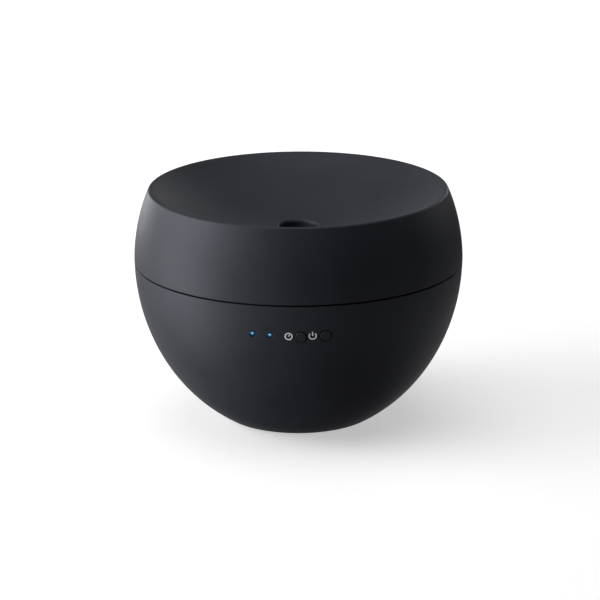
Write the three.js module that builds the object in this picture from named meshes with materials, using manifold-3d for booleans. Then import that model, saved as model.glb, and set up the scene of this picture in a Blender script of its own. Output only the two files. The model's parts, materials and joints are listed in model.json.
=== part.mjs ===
// Tabletop ultrasonic aroma diffuser: a round lower housing with a water tank, an inner mist hood and a
// dished cover that lifts off. Lengths are in millimetres, +Z is up, the table is z = 0, the axis of the
// body is x = y = 0 and the control panel faces -Y.
import * as THREE from "three";
import { mergeVertices } from "three/addons/utils/BufferGeometryUtils.js";
import Module from "manifold-3d";

const wasm = await Module();
wasm.setup();

// ---- Driving dimensions ------------------------------------------------------------------------------
const HEIGHT = 118; // table to rim
const SEAM_Z = 81; // middle of the shadow gap between housing and cover
const SEAM_GAP = 0.8;
const COVER_A = 82.5; // cover: half width of its ellipse, the body's largest radius
const COVER_B = 87.5; // cover: half height of its ellipse
const COVER_Z = SEAM_Z + SEAM_GAP / 2; // cover: its lower edge, which is also its widest place
const HOUSING_A = 82.45; // housing: half width of its ellipse, a little inside the cover
const HOUSING_B = 92.4; // housing: half height of its ellipse
const HOUSING_WIDEST_Z = 83.3; // housing: height of its ellipse's centre
const HOUSING_TOP_Z = SEAM_Z - SEAM_GAP / 2;
const HOUSING_Z = 0.8; // underside of the housing
const WALL = 2.4; // moulded wall thickness
const FIT = 0.3; // gap between pieces that touch
const COVER_STEPS = 48; // sides of the cover
const ROUND_STEPS = 40; // sides of the other large round pieces

const RIM_ROUND = 1.3; // rounding of the cover's rim
const RIM_SLOPE = 23; // degrees that the cover's wall leans in at the rim
const DISH_R = 73.3; // where the dish meets the rim's rounding
const DISH_DEPTH = 19.4;
const DISH_Z = HEIGHT - DISH_DEPTH; // lowest point of the dish's sphere
const HOLE_R = 9.4; // mist hole
const HOLE_ROUND = 1.8;
const SPOUT_END_Z = 88;
const SPOUT_WALL = 2;

const HOOD_WALL = 1.8;
const HOOD_R = 66; // the hood's edge, on the tank's flange
const SKIRT_R = 54.1; // the skirt that centres the hood in the tank
const SKIRT_Z = 72.5;
const CHIMNEY_R = 14.4;
const CHIMNEY_Z = 94;

const TANK_FLOOR_Z = 48.2; // inside floor of the tank
const TANK_FLOOR_R = 46;
const TANK_WALL = 2.2;
const TANK_RIM_R = 56.7; // inside radius at the flange's top
const FLANGE_Z = 77.2; // top of the tank's flange
const FLANGE_R = 79.1;
const LIP_R = 77.3; // inside of the lip that centres the cover
const LIP_Z = 84.6;

const RISER_Y = 34; // air riser and fan
const RISER_R = 8;
const RISER_Z = 70;
const PROBE_Y = -18; // ultrasonic transducer

const PANEL_Z = 65.1; // height of the row of buttons
const BUTTON_X = { timer: 5.75, power: 17.75 };
const LED_X = { left: -17.6, right: -9.2 };
const LED_RAISE = 0.6; // the lamps sit this much above the row
const BUTTON_R = 2.6;
const BUTTON_HOLE_R = 2.95;
const BUTTON_PROUD = 0.45;
const LED_R = 1.5;
const LED_HOLE_R = 1.7;
const BOARD_FACE = -13; // panel board's front face, behind the housing's surface

const JACK_Z = 20; // low-voltage inlet at the back
const POCKET_Y = 51;
const POCKET_R = 7;
const NOSE_R = 4; // the socket's round nose
const PLUG_HOLE_R = 2.9;
const CONTACT_R = 1; // the socket's centre contact

// ---- Materials ---------------------------------------------------------------------------------------
const finish = (color, roughness, metalness = 0) =>
  new THREE.MeshStandardMaterial({ color, roughness, metalness });
const softTouch = finish(0x2c2d31, 0.72);
const tankPlastic = finish(0x3c3f44, 0.42);
const hoodPlastic = finish(0x1b1c1f, 0.4);
const basePlastic = finish(0x202124, 0.6);
const rubber = finish(0x121213, 0.85);
const silicone = finish(0xd8d6cf, 0.6);
const steel = finish(0xb9bcc0, 0.35, 1);
const darkSteel = finish(0x3a3b3e, 0.45, 1);
const brass = finish(0xc8a24f, 0.35, 1);
const copper = finish(0xb5703c, 0.4, 1);
const aluminium = finish(0xa9adb2, 0.45, 1);
const boardGreen = finish(0x1d5a3a, 0.5);
const partBlack = finish(0x161617, 0.5);
const connectorWhite = finish(0xe6e2d6, 0.55);
const lampBlue = finish(0x2f8fe0, 0.15);
const wireBlack = finish(0x1a1a1c, 0.6);
const sleeveBlue = finish(0x23406e, 0.35);

// ---- Shape helpers -----------------------------------------------------------------------------------
// A closed geometry as a manifold-3d solid. Triangles that a point on the axis collapses are dropped.
function solidOf(geometry) {
  const bare = geometry.clone();
  bare.deleteAttribute("normal");
  bare.deleteAttribute("uv");
  const merged = mergeVertices(bare, 1e-3);
  const corners = merged.index.array;
  const kept = [];
  for (let i = 0; i < corners.length; i += 3) {
    const [a, b, c] = corners.slice(i, i + 3);
    if (a !== b && b !== c && c !== a) kept.push(a, b, c);
  }
  const vertProperties = merged.attributes.position.array;
  return new wasm.Manifold(new wasm.Mesh({ numProp: 3, vertProperties, triVerts: Uint32Array.from(kept) }));
}

function geometryOf(solid) {
  const mesh = solid.getMesh();
  const geometry = new THREE.BufferGeometry();
  geometry.setAttribute("position", new THREE.BufferAttribute(Float32Array.from(mesh.vertProperties), 3));
  geometry.setIndex(new THREE.BufferAttribute(Uint32Array.from(mesh.triVerts), 1));
  geometry.computeVertexNormals();
  return geometry;
}

// Turns a closed outline of [radius, height] points about the Z axis.
function revolve(outline, steps = 24) {
  const area = outline.reduce((sum, [r, z], i) => {
    const [nextR, nextZ] = outline[(i + 1) % outline.length];
    return sum + r * nextZ - nextR * z;
  }, 0);
  const ordered = area > 0 ? outline : [...outline].reverse();
  const points = [...ordered, ordered[0]].map(([r, z]) => new THREE.Vector2(r, z));
  return new THREE.LatheGeometry(points, steps).rotateX(Math.PI / 2);
}

const turned = (outline, steps) => solidOf(revolve(outline, steps));

// A round bar between two heights, at a place in plan.
const bar = (r, z0, z1, x = 0, y = 0, steps = 20) =>
  turned([[0, z0], [r, z0], [r, z1], [0, z1]], steps).translate([x, y, 0]);

// A box from its lowest and highest corners.
function block([x0, y0, z0], [x1, y1, z1]) {
  const box = new THREE.BoxGeometry(x1 - x0, y1 - y0, z1 - z0);
  return solidOf(box.translate((x0 + x1) / 2, (y0 + y1) / 2, (z0 + z1) / 2));
}

// An extruded outline between two heights.
function plate(shape, z0, z1) {
  const settings = { depth: z1 - z0, bevelEnabled: false, curveSegments: 4 };
  return solidOf(new THREE.ExtrudeGeometry(shape, settings).translate(0, 0, z0));
}

function circleHole(shape, r, x = 0, y = 0) {
  shape.holes.push(new THREE.Path().absarc(x, y, r, 0, 2 * Math.PI, true));
}

function roundedRectangle(halfX, halfY, corner) {
  const shape = new THREE.Shape();
  shape.absarc(halfX - corner, halfY - corner, corner, 0, Math.PI / 2);
  shape.absarc(corner - halfX, halfY - corner, corner, Math.PI / 2, Math.PI);
  shape.absarc(corner - halfX, corner - halfY, corner, Math.PI, 1.5 * Math.PI);
  shape.absarc(halfX - corner, corner - halfY, corner, 1.5 * Math.PI, 2 * Math.PI);
  shape.closePath();
  return shape;
}

// Points on an arc in the plane of radius and height.
function arc(r, z, round, from, to, steps) {
  return Array.from({ length: steps + 1 }, (_, i) => {
    const angle = THREE.MathUtils.degToRad(from + ((to - from) * i) / steps);
    return [r + round * Math.cos(angle), z + round * Math.sin(angle)];
  });
}

// Points of a curve radiusAt(z), at even heights.
function wallPoints(radiusAt, z0, z1, steps) {
  return Array.from({ length: steps + 1 }, (_, i) => {
    const z = z0 + ((z1 - z0) * i) / steps;
    return [radiusAt(z), z];
  });
}

const ellipse = (a, b, z) => a * Math.sqrt(1 - (z / b) ** 2);
const coverRadius = (z, inset = 0) => ellipse(COVER_A - inset, COVER_B - inset, z - COVER_Z);
const housingRadius = (z, inset = 0) => ellipse(HOUSING_A - inset, HOUSING_B - inset, z - HOUSING_WIDEST_Z);

// Copies of a thing at equal angles about the Z axis, starting at a given angle in degrees.
const around = (count, radius, start, make) =>
  Array.from({ length: count }, (_, i) => {
    const angle = THREE.MathUtils.degToRad(start + (360 * i) / count);
    return make(radius * Math.cos(angle), radius * Math.sin(angle), i);
  });

const union = (solids) => solids.reduce((whole, piece) => whole.add(piece));
const cut = (solid, tools) => tools.reduce((whole, tool) => whole.subtract(tool), solid);

const diffuser = new THREE.Group();

function add(name, solid, material, parent = diffuser) {
  const mesh = new THREE.Mesh(geometryOf(solid), material);
  mesh.name = name;
  parent.add(mesh);
  return mesh;
}

// A pan-head screw that points up: its head's underside is at z.
const screw = (shankR, headR, headHeight, length) =>
  turned([[0, -headHeight], [headR, -headHeight], [headR, 0], [shankR, 0], [shankR, length], [0, length]], 10);

// ---- Cover -------------------------------------------------------------------------------------------
const DISH_SPHERE = (DISH_R ** 2 + DISH_DEPTH ** 2) / (2 * DISH_DEPTH);
const dishZ = (r) => DISH_Z + DISH_SPHERE - Math.sqrt(DISH_SPHERE ** 2 - r ** 2);

function buildCover() {
  const rimZ = HEIGHT - RIM_ROUND;
  const wallTop = rimZ + RIM_ROUND * Math.sin(THREE.MathUtils.degToRad(RIM_SLOPE));
  const rimR = coverRadius(wallTop) - RIM_ROUND * Math.cos(THREE.MathUtils.degToRad(RIM_SLOPE));
  const dishSlope = THREE.MathUtils.radToDeg(Math.asin(DISH_R / DISH_SPHERE));
  const dish = (r0, r1, drop, steps) =>
    Array.from({ length: steps + 1 }, (_, i) => {
      const r = r0 + ((r1 - r0) * i) / steps;
      return [r, dishZ(r) - drop];
    });
  const lipR = HOLE_R + HOLE_ROUND;
  const shell = turned([
    ...wallPoints(coverRadius, COVER_Z, wallTop - 2, 5),
    ...arc(rimR, rimZ, RIM_ROUND, RIM_SLOPE, 90, 2),
    ...arc(rimR, rimZ, RIM_ROUND, 90, 90 + dishSlope, 1).slice(1),
    ...dish(DISH_R - 4, lipR, 0, 6),
    ...arc(lipR, dishZ(lipR) - HOLE_ROUND, HOLE_ROUND, 135, 180, 1),
    [HOLE_R, SPOUT_END_Z],
    [HOLE_R + SPOUT_WALL, SPOUT_END_Z],
    ...dish(HOLE_R + SPOUT_WALL, DISH_R - 2, WALL * 1.08, 4),
    ...wallPoints((z) => coverRadius(z, WALL), HEIGHT - 6, COVER_Z, 4),
  ], COVER_STEPS);
  // Six ribs stand on the tank's lip and set the shadow gap.
  const ribs = around(6, 78.6, 30, (x, y, i) =>
    block([-2, -1, LIP_Z + FIT], [2, 1, 96]).rotate([0, 0, 30 + 60 * i]).translate([x, y, 0]));
  const wallMiddle = wallPoints((z) => coverRadius(z, WALL / 2), COVER_Z, 110, 5);
  const inside = turned([[0, COVER_Z], ...wallMiddle, [0, 110]], ROUND_STEPS);
  add("cover", union([shell, ...ribs.map((rib) => rib.intersect(inside))]), softTouch);
}

// ---- Mist hood ---------------------------------------------------------------------------------------
function buildHood() {
  const seat = FLANGE_Z + FIT;
  const top = seat + HOOD_WALL;
  add("mist_hood", turned([
    [HOOD_R, seat],
    [HOOD_R, top],
    [55, top],
    [46, top + 3.6],
    [32, top + 7.2],
    [18, top + 9],
    [CHIMNEY_R, top + 10.4],
    [CHIMNEY_R, CHIMNEY_Z],
    [CHIMNEY_R - HOOD_WALL, CHIMNEY_Z],
    [CHIMNEY_R - HOOD_WALL, top + 6.8],
    [18, top + 5.4],
    [32, top + 3.4],
    [46, seat + 1.8],
    [SKIRT_R - HOOD_WALL, seat - 0.6],
    [SKIRT_R - HOOD_WALL, SKIRT_Z],
    [SKIRT_R, SKIRT_Z],
    [SKIRT_R, seat],
  ], 32), hoodPlastic);
}

// ---- Lower housing -----------------------------------------------------------------------------------
const FLOOR_UNDER = 3.7; // underside of the housing's floor, above the base cover
const FLOOR_TOP = 6.1;
const RECESS_R = 34.3;
const INTAKE_R = 17;
const LEDGE_Z = 74.6; // the tank's flange rests here
const LEDGE_R = 75.8;
const GROOVE = { inner: 76.9, outer: 78.4, depth: 1.3 }; // holds the tank's seal
const POST_R = 4.2; // screw posts under the tank
const TANK_POSTS = [[29, 9], [-29, 9], [-29, -9], [29, -9]];
const TANK_POST_Z = 36;
const BOARD_POSTS = [[21, -31], [-21, 1], [21, 1], [-21, -31]]; // the first two take screws
const BOARD_Z = 20;
const BOARD_POST_R = 2.9;
const BASE_SCREW_R = 29;
const BASE_POST_R = 3.6;
const BASE_POST_Z = 13.5;

// The control panel's own frame: +X to the right, +Y up, +Z out of the housing's surface.
const PANEL_TILT = Math.atan2(
  (HOUSING_WIDEST_Z - PANEL_Z) / HOUSING_B ** 2,
  housingRadius(PANEL_Z) / HOUSING_A ** 2,
);
const panel = new THREE.Group();
panel.position.set(0, -housingRadius(PANEL_Z), PANEL_Z);
panel.rotation.x = Math.PI / 2 + PANEL_TILT;
panel.updateMatrixWorld(true);
diffuser.add(panel);
const onPanel = (solid) => solid.transform(panel.matrixWorld.toArray());
const panelSag = (x) => housingRadius(PANEL_Z) - Math.sqrt(housingRadius(PANEL_Z) ** 2 - x ** 2);
const PANEL_SCREWS = [[-25.5, -2], [25.5, -2]];

const along = (solid) => solid.rotate([-90, 0, 0]); // from +Z to +Y

function buildHousing() {
  const wall = (z) => housingRadius(z, WALL);
  const shell = turned([
    ...wallPoints(wall, FLOOR_TOP, 71, 7),
    [LEDGE_R, LEDGE_Z - 2],
    [LEDGE_R, LEDGE_Z],
    [GROOVE.inner, LEDGE_Z],
    [GROOVE.inner, LEDGE_Z - GROOVE.depth],
    [GROOVE.outer, LEDGE_Z - GROOVE.depth],
    [GROOVE.outer, LEDGE_Z],
    [wall(LEDGE_Z), LEDGE_Z],
    [wall(HOUSING_TOP_Z), HOUSING_TOP_Z],
    ...wallPoints(housingRadius, HOUSING_TOP_Z, 12, 6),
    ...wallPoints(housingRadius, 8, 1.6, 2),
    [housingRadius(HOUSING_Z) - 0.5, HOUSING_Z],
    [RECESS_R, HOUSING_Z],
    [RECESS_R, FLOOR_UNDER],
    [INTAKE_R, FLOOR_UNDER],
    [INTAKE_R, FLOOR_TOP],
  ], ROUND_STEPS);
  const envelope = turned([[0, 2], ...wallPoints((z) => housingRadius(z, 0.6), 2, 78, 9), [0, 78]], ROUND_STEPS);

  const bosses = [
    ...TANK_POSTS.map(([x, y]) => bar(POST_R, FLOOR_TOP - 1, TANK_POST_Z, x, y, 14)),
    ...BOARD_POSTS.map(([x, y]) => bar(BOARD_POST_R, FLOOR_TOP - 1, BOARD_Z - FIT, x, y, 12)),
    ...BOARD_POSTS.slice(2).map(([x, y]) => bar(1.2, BOARD_Z - 1, BOARD_Z + 2.4, x, y, 10)),
    ...around(4, BASE_SCREW_R, 45, (x, y) => bar(BASE_POST_R, FLOOR_TOP - 1, BASE_POST_Z, x, y, 12)),
    block([-3.5, 37.5, FLOOR_TOP - 1], [3.5, 46, JACK_Z - 5.6]),
    along(bar(POCKET_R + 2, POCKET_Y - 2.5, 70, 0, -JACK_Z, 24)),
    ...PANEL_SCREWS.map(([x, y]) => onPanel(bar(2.8, BOARD_FACE + FIT, -5.5, x, y, 12))),
  ].map((boss) => boss.intersect(envelope));

  const holes = [
    ...TANK_POSTS.map(([x, y]) => bar(3, 0, TANK_POST_Z - 2, x, y, 14)),
    ...TANK_POSTS.map(([x, y]) => bar(1.9, 30, TANK_POST_Z + 1, x, y, 10)),
    ...BOARD_POSTS.slice(0, 2).map(([x, y]) => bar(1.4, 11, BOARD_Z, x, y, 10)),
    ...around(4, BASE_SCREW_R, 45, (x, y) => bar(1.75, 0, BASE_POST_Z - 0.9, x, y, 10)),
    along(bar(POCKET_R, POCKET_Y, 80, 0, -JACK_Z, 24)),
    along(bar(NOSE_R + 0.4, POCKET_Y - 5, POCKET_Y + 1, 0, -JACK_Z, 20)),
    ...Object.values(BUTTON_X).map((x) => onPanel(bar(BUTTON_HOLE_R, -8, 4, x, 0, 20))),
    ...Object.values(LED_X).map((x) => onPanel(bar(LED_HOLE_R, -8, 4, x, LED_RAISE, 16))),
    ...PANEL_SCREWS.map(([x, y]) => onPanel(bar(1.4, BOARD_FACE, -8, x, y, 10))),
  ];
  add("lower_housing", cut(union([shell, ...bosses]), holes), softTouch);
}

// ---- Base: cover plate, feet and screws --------------------------------------------------------------
const BASE_R = 34;
const BASE_Z = 1;
const BASE_STEP = 2.5; // top of the recesses for feet and screw heads
const BASE_TOP = FLOOR_UNDER - FIT;
const GRILLE_R = 15.5;
const SLOT_COUNT = 7;
const SLOT_PITCH = 4;
const FOOT_R = 4.5;
const FOOT_AT = 27;

function buildBase() {
  const disc = turned([[0, BASE_Z], [BASE_R, BASE_Z], [BASE_R, BASE_TOP], [0, BASE_TOP]], ROUND_STEPS);
  const slots = Array.from({ length: SLOT_COUNT }, (_, i) => {
    const y = SLOT_PITCH * (i - (SLOT_COUNT - 1) / 2);
    const half = Math.sqrt(GRILLE_R ** 2 - y ** 2);
    return block([-half, y - SLOT_PITCH / 4, 0], [half, y + SLOT_PITCH / 4, 5]);
  });
  const recesses = around(4, FOOT_AT, 0, (x, y) => bar(FOOT_R + FIT, 0, BASE_STEP, x, y, 20));
  const screwHoles = around(4, BASE_SCREW_R, 45, (x, y) =>
    bar(3, 0, BASE_STEP, x, y, 12).add(bar(1.75, 0, 5, x, y, 10)));
  add("base_cover", cut(disc, [...slots, ...recesses, ...screwHoles]), basePlastic);
  around(4, FOOT_AT, 0, (x, y, i) =>
    add(`foot_${i + 1}`, turned([[0, 0], [FOOT_R - 0.6, 0], [FOOT_R, 0.6], [FOOT_R, 2.2], [0, 2.2]], 20)
      .translate([x, y, 0]), rubber));
  around(4, BASE_SCREW_R, 45, (x, y, i) =>
    add(`base_screw_${i + 1}`, screw(1.4, 2.6, 1, 9.6).translate([x, y, 2.2]), steel));
}

// ---- Water tank --------------------------------------------------------------------------------------
const FAN_HALF = 20;
const FAN_PITCH = 16;
const FAN_HOLES = [[FAN_PITCH, RISER_Y - FAN_PITCH], [-FAN_PITCH, RISER_Y - FAN_PITCH],
  [-FAN_PITCH, RISER_Y + FAN_PITCH], [FAN_PITCH, RISER_Y + FAN_PITCH]];
const FAN_TOP = 40.2;
const FAN_BOTTOM = 30.2;
const DUCT_TOP = FAN_TOP + FIT + 1.5; // top of the duct's flange
const PROBE_BOSS_Z = 40.3; // underside of the tank's boss for the transducer
const PROBE_BOSS_R = 19;
const PROBE_SCREW_R = 16.2;
const DISC_R = 12.6; // the transducer's metal disc
const PROBE_R = 9.8; // the step under it
const HUB_R = 10.4; // the fan's hub

function buildTank() {
  const under = TANK_FLOOR_Z - TANK_WALL;
  const basin = turned([
    [0, under],
    [TANK_FLOOR_R - 1, under],
    [TANK_FLOOR_R + 2.2, under + 2],
    [TANK_RIM_R + 1.6, FLANGE_Z - TANK_WALL],
    [FLANGE_R, FLANGE_Z - TANK_WALL],
    [FLANGE_R, LIP_Z],
    [LIP_R, LIP_Z],
    [LIP_R, FLANGE_Z],
    [TANK_RIM_R, FLANGE_Z],
    [TANK_FLOOR_R + 0.8, TANK_FLOOR_Z + 2],
    [TANK_FLOOR_R - 2, TANK_FLOOR_Z],
    [0, TANK_FLOOR_Z],
  ], ROUND_STEPS);
  const added = [
    bar(RISER_R + 2, under, RISER_Z, 0, RISER_Y, 24),
    bar(PROBE_BOSS_R, PROBE_BOSS_Z, under + 1, 0, PROBE_Y, 28),
    ...TANK_POSTS.map(([x, y]) => bar(POST_R, TANK_POST_Z + FIT, under + 1, x, y, 16)),
    ...FAN_HOLES.map(([x, y], i) => bar(3, DUCT_TOP + FIT, i < 2 ? under + 1 : 56, x, y, 12)),
  ];
  const removed = [
    bar(RISER_R, 0, RISER_Z + 1, 0, RISER_Y, 24),
    turned([[0, 39], [13.2, 39], [13.2, 43.6], [9.5, 43.6], [9.5, under + 0.7], [13.5, 48.4], [0, 48.4]], 28)
      .translate([0, PROBE_Y, 0]),
    ...around(3, PROBE_SCREW_R, 90, (x, y) => bar(1.3, 39, 45, x, y + PROBE_Y, 10)),
    ...TANK_POSTS.map(([x, y]) => bar(1.6, 30, 45, x, y, 12)),
    ...FAN_HOLES.map(([x, y], i) => bar(1.3, 30, i < 2 ? 46.8 : 50, x, y, 10)),
  ];
  add("water_tank", cut(union([basin, ...added]), removed), tankPlastic);
  const sealIn = GROOVE.inner + FIT;
  const sealOut = GROOVE.outer - FIT;
  const sealZ = LEDGE_Z - 0.9;
  const sealTop = LEDGE_Z + 0.1;
  add("tank_seal", turned([[sealIn, sealZ], [sealOut, sealZ], [sealOut, sealTop], [sealIn, sealTop]], ROUND_STEPS),
    silicone);
  TANK_POSTS.forEach(([x, y], i) =>
    add(`tank_screw_${i + 1}`, screw(1.3, 2.6, 2, 10.2).translate([x, y, TANK_POST_Z - 2 - FIT]), steel));
}

// ---- Ultrasonic transducer ---------------------------------------------------------------------------
function buildTransducer() {
  const group = new THREE.Group();
  group.position.set(0, PROBE_Y, 0);
  diffuser.add(group);
  add("transducer_seal", turned([[9.9, 42], [12.9, 42], [12.9, 43.3], [9.9, 43.3]], 28), silicone, group);
  add("transducer_disc", turned([[0, 39.3], [PROBE_R, 39.3], [PROBE_R, 40.4], [DISC_R, 40.4], [DISC_R, 41.6],
    [0, 41.6]], 28), steel, group);
  const bracketZ = PROBE_BOSS_Z - FIT;
  const inner = PROBE_R + 0.8;
  const ring = turned([[inner, bracketZ - 1.6], [PROBE_BOSS_R, bracketZ - 1.6], [PROBE_BOSS_R, bracketZ],
    [inner, bracketZ]], 28);
  const holes = around(3, PROBE_SCREW_R, 90, (x, y) => bar(1.35, 38, 41, x, y, 10));
  add("transducer_bracket", cut(ring, holes), aluminium, group);
  around(3, PROBE_SCREW_R, 90, (x, y, i) =>
    add(`transducer_screw_${i + 1}`, screw(1, 2.1, 1.4, 6.4).translate([x, y, 38.1]), steel, group));
}

// ---- Fan and duct ------------------------------------------------------------------------------------
const BLADES = 7;

function buildFan() {
  const group = new THREE.Group();
  group.position.set(0, RISER_Y, 0);
  diffuser.add(group);
  const holes = FAN_HOLES.map(([x, y]) => [x, y - RISER_Y]);

  const square = roundedRectangle(FAN_HALF, FAN_HALF, 3);
  holes.forEach(([x, y]) => circleHole(square, 1.8, x, y));
  const rim = plate(square, FAN_BOTTOM, FAN_TOP).subtract(bar(18.6, FAN_BOTTOM - 1, FAN_TOP + 1, 0, 0, 28));
  const struts = around(3, 1, 30, (x, y, i) =>
    block([0, -1.2, FAN_BOTTOM], [18.8, 1.2, FAN_BOTTOM + 1.6]).rotate([0, 0, 30 + 120 * i]));
  const hub = turned([[0, FAN_BOTTOM], [9.4, FAN_BOTTOM], [9.4, FAN_BOTTOM + 2], [3, FAN_BOTTOM + 2],
    [3, 37.2], [1.3, 37.2], [1.3, 31.6], [0, 31.6]], 20);
  add("fan_frame", union([rim, hub, ...struts]), partBlack, group);

  const core = turned([[3.4, 32.8], [8, 32.8], [8, 36.8], [3.4, 36.8]], 20);
  add("fan_stator", core, copper, group);

  const cup = turned([[0, 39.4], [HUB_R, 39.4], [HUB_R, 33], [HUB_R - 1.1, 33], [HUB_R - 1.1, 37.9], [0.9, 37.9],
    [0.9, 32.2], [0, 32.2]], 28);
  const blade = () => {
    const shape = new THREE.Shape();
    shape.moveTo(-3.4, 0);
    shape.quadraticCurveTo(-0.4, 1.7, 3.4, 2.6);
    shape.lineTo(3.4, 1.6);
    shape.quadraticCurveTo(-0.2, 0.6, -3.1, -1);
    shape.closePath();
    const wing = new THREE.ExtrudeGeometry(shape, { depth: 7.4, bevelEnabled: false, curveSegments: 3 });
    // From the section's own plane to a blade that stands out of the hub along +X.
    return solidOf(wing.rotateX(Math.PI / 2).rotateZ(Math.PI / 2).translate(HUB_R - 0.5, 0, 35.4));
  };
  const blades = Array.from({ length: BLADES }, (_, i) => blade().rotate([0, 0, (360 * i) / BLADES]));
  add("fan_rotor", union([cup, ...blades]), partBlack, group);

  const flange = plate(square, FAN_TOP + FIT, DUCT_TOP).subtract(bar(17.4, FAN_TOP, DUCT_TOP + 1, 0, 0, 24));
  const cone = turned([[19, DUCT_TOP - 0.8], [11.6, 45.7], [9.6, 45.7], [17.3, DUCT_TOP - 1.1]], 24);
  add("fan_duct", flange.add(cone), basePlastic, group);
  holes.forEach(([x, y], i) =>
    add(`fan_screw_${i + 1}`, screw(1, 2.2, 1.4, 16).translate([x, y, FAN_BOTTOM - FIT]), darkSteel, group));
}

// ---- Main board --------------------------------------------------------------------------------------
const BOARD_TOP = BOARD_Z + 1.6;
const PART_Z = BOARD_TOP + FIT; // parts stand just above the board

function buildBoard() {
  const group = new THREE.Group();
  diffuser.add(group);
  const halfX = 24;
  const middleY = -15;
  const outline = roundedRectangle(halfX, 19, 2);
  BOARD_POSTS.forEach(([x, y]) => circleHole(outline, 1.6, x, y - middleY));
  add("main_board", plate(outline, BOARD_Z, BOARD_TOP).translate([0, middleY, 0]), boardGreen, group);
  BOARD_POSTS.slice(0, 2).forEach(([x, y], i) =>
    add(`board_screw_${i + 1}`, screw(1.1, 2.3, 1.5, 7.4).rotate([180, 0, 0])
      .translate([x, y, BOARD_TOP + FIT]), steel, group));

  const coil = turned([[0, 0], [6.2, 0], [6.2, 1.2], [5, 1.8], [5, 8], [6.2, 8.6], [6.2, 9.8], [0, 9.8]], 20);
  add("driver_coil", coil.translate([-13, -22, PART_Z]), copper, group);
  const can = (r, height) => turned([[0, 0], [r, 0], [r, height - 0.5], [r - 0.5, height], [0, height]], 18);
  add("capacitor_large", can(4, 11).translate([3, -26, PART_Z]), sleeveBlue, group);
  add("capacitor_small", can(3.1, 8).translate([13.4, -27, PART_Z]), sleeveBlue, group);

  const fins = Array.from({ length: 5 }, (_, i) =>
    block([5 + 3.6 * i, -16, PART_Z], [6.2 + 3.6 * i, -9, PART_Z + 12]));
  add("heat_sink", union([block([5, -13.6, PART_Z], [20.6, -12, PART_Z + 12]), ...fins]), aluminium, group);
  add("controller_chip", block([-11, -9, PART_Z], [-2, -3, PART_Z + 1.6]), partBlack, group);
  const header = (x, y, halfX, halfY, name) =>
    add(name, cut(block([x - halfX, y - halfY, PART_Z], [x + halfX, y + halfY, PART_Z + 6]),
      [block([x - halfX + 0.9, y - halfY + 0.9, PART_Z + 1.4], [x + halfX - 0.9, y + halfY - 0.9, PART_Z + 7])]),
      connectorWhite, group);
  header(12.5, 0, 3.8, 2.8, "power_header");
  header(-8, 1, 3.2, 2.4, "fan_header");
  header(-11, -31.2, 5, 2.4, "panel_header");
}

// ---- Control panel -----------------------------------------------------------------------------------
function buildPanel() {
  const outline = roundedRectangle(28.5, 7.5, 1.5);
  PANEL_SCREWS.forEach(([x, y]) => circleHole(outline, 1.4, x, y + 2));
  add("panel_board", plate(outline, BOARD_FACE - 1.6, BOARD_FACE).translate([0, -2, 0]), boardGreen, panel);
  PANEL_SCREWS.forEach(([x, y], i) =>
    add(`panel_screw_${i + 1}`, screw(1.05, 2.1, 1.4, 5.8).translate([x, y, BOARD_FACE - 1.6 - FIT]), steel, panel));

  // The button's face follows the housing's surface, a little proud of it.
  const surface = turned([[0, 20], ...wallPoints((z) => housingRadius(z, -BUTTON_PROUD), 20, 79, 16), [0, 79]], 96);
  for (const [name, x] of Object.entries(BUTTON_X)) {
    const stop = -(panelSag(x + 4) + WALL + 0.6); // front of the flange that holds the cap in
    const body = turned([[0, 3], [BUTTON_R, 3], [BUTTON_R, stop], [4, stop], [4, stop - 1], [1.8, stop - 1],
      [1.8, -8.2], [0, -8.2]], 20).translate([x, 0, 0]);
    add(`${name}_button`, onPanel(body).intersect(surface), softTouch);
    const well = bar(2.1, -11.3, -9, x, 0, 12);
    add(`${name}_switch`, block([x - 3, -3, BOARD_FACE + FIT], [x + 3, 3, -9.6]).subtract(well), partBlack, panel);
    add(`${name}_plunger`, bar(1.7, -10.5, -8.5, x, 0, 12), darkSteel, panel);
  }
  for (const [side, x] of Object.entries(LED_X)) {
    const tip = -panelSag(x);
    add(`status_lamp_${side}`, turned([[0, BOARD_FACE + FIT], [1.9, BOARD_FACE + FIT], [1.9, tip - 4.6],
      [LED_R, tip - 4.6], [LED_R, tip - 1.1], [1.1, tip - 0.35], [0, tip]], 16)
      .translate([x, LED_RAISE, 0]), lampBlue, panel);
  }
}

// ---- Low-voltage inlet -------------------------------------------------------------------------------
function buildInlet() {
  const shoulderY = POCKET_Y - 2.8;
  const boreY = 39;
  const nose = along(bar(NOSE_R, shoulderY, POCKET_Y - 0.2, 0, -JACK_Z, 20));
  const body = block([-4.5, 34.2, JACK_Z - 5.25], [4.5, shoulderY, JACK_Z + 5.25]);
  const socket = cut(union([body, nose]), [
    along(bar(PLUG_HOLE_R, boreY, POCKET_Y + 4, 0, -JACK_Z, 20)),
    along(bar(CONTACT_R + FIT, 33, boreY + 1, 0, -JACK_Z, 12)),
  ]);
  add("inlet_socket", socket, partBlack);
  add("inlet_pin", along(bar(CONTACT_R, 35, POCKET_Y - 1.2, 0, -JACK_Z, 12)), brass);
}

// ---- Wiring ------------------------------------------------------------------------------------------
// A lead is a tube along a smooth curve through its points.
function lead(name, r, steps, route) {
  const path = new THREE.CatmullRomCurve3(route.map((p) => new THREE.Vector3(...p)));
  const section = new THREE.Shape();
  for (let i = 0; i < 8; i++) {
    const angle = (Math.PI * i) / 4;
    section[i ? "lineTo" : "moveTo"](r * Math.cos(angle), r * Math.sin(angle));
  }
  section.closePath();
  const tube = new THREE.ExtrudeGeometry(section, { steps, extrudePath: path, bevelEnabled: false });
  add(name, solidOf(tube), wireBlack);
}

const behindPanel = (x, y, gap) =>
  new THREE.Vector3(x, y, BOARD_FACE - 1.6 - gap).applyMatrix4(panel.matrixWorld).toArray();

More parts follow.
